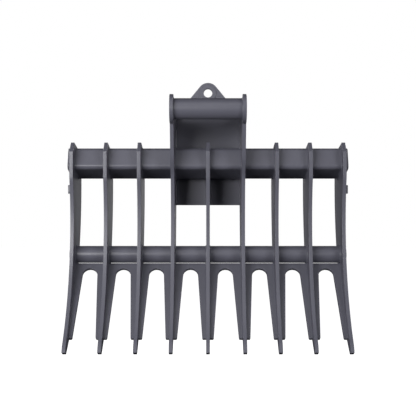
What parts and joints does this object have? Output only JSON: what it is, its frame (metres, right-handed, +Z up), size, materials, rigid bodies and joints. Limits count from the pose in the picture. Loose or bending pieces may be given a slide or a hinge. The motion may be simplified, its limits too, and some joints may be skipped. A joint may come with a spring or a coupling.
{
  "type": "excavator rake",
  "caption": "Welded rake for an excavator: curved plate tines on two cross tubes, arched webs, a coupler bar between two ears and a lifting eye.",
  "frame": {"origin": "middle of the coupler bar, on its axis", "axes": "+X across the rake along the coupler bar, +Y from the open, hollow side of the tines to their backs, +Z up with the tines hanging down"},
  "size_m": [1.2444, 0.432, 1.1945],
  "materials": {
    "paint": "satin",
    "sleeve_steel": "machined"
  },
  "bodies": {
    "root": {"tine_1": "paint", "tine_2": "paint", "tine_3": "paint", "hanger_plate_left": "paint", "centre_tine": "paint", "hanger_plate_right": "paint", "tine_7": "paint", "tine_8": "paint", "tine_9": "paint", "web_1": "paint", "web_2": "paint", "web_3": "paint", "web_4": "paint", "web_5": "paint", "web_6": "paint", "web_7": "paint", "web_8": "paint", "upper_cross_tube": "paint", "lower_cross_tube": "paint", "upper_tube_cap_left": "paint", "upper_tube_cap_right": "paint", "lower_tube_cap_left": "paint", "lower_tube_cap_right": "paint", "coupler_bar": "paint", "bar_sleeve": "sleeve_steel", "back_plate": "paint", "lifting_eye": "paint", "eye_ring": "paint", "side_pad_left": "paint", "side_pad_right": "paint"}
  },
  "joints": []
}
